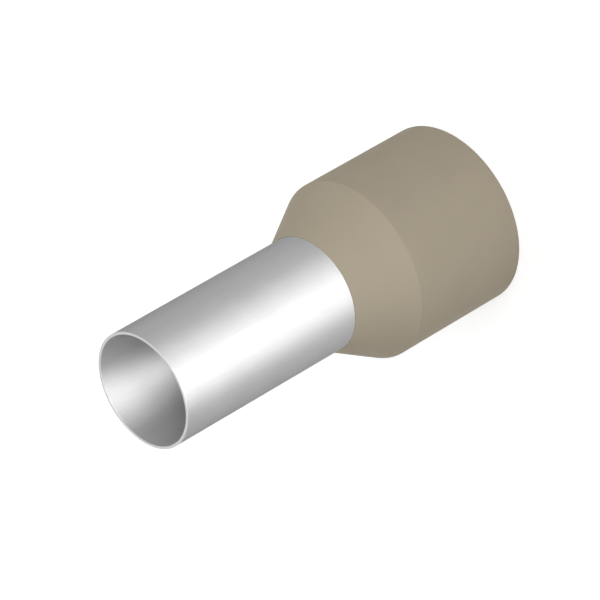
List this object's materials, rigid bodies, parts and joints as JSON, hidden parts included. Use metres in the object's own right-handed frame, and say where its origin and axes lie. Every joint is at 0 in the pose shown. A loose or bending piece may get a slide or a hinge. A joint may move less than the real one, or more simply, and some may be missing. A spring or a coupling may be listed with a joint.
{
  "type": "wire ferrule",
  "caption": "Insulated wire ferrule: a thin tinned tube for crimping on stranded wire, its flared rear end held in a beige plastic collar with a conical neck and a funnel inside.",
  "frame": {"origin": "centre of the collar's mouth, on the plane of its rim, which is the face it stands on", "axes": "+Z along the ferrule's axis, from the collar's mouth to the mouth of the metal sleeve; X and Y are free, because the part is round"},
  "size_m": [0.0136, 0.0134, 0.03],
  "materials": {
    "tinned_copper": "satin tin plating",
    "collar_plastic": "fine matte moulding"
  },
  "bodies": {
    "root": {"metal_sleeve": "tinned_copper", "insulating_collar": "collar_plastic"}
  },
  "joints": []
}
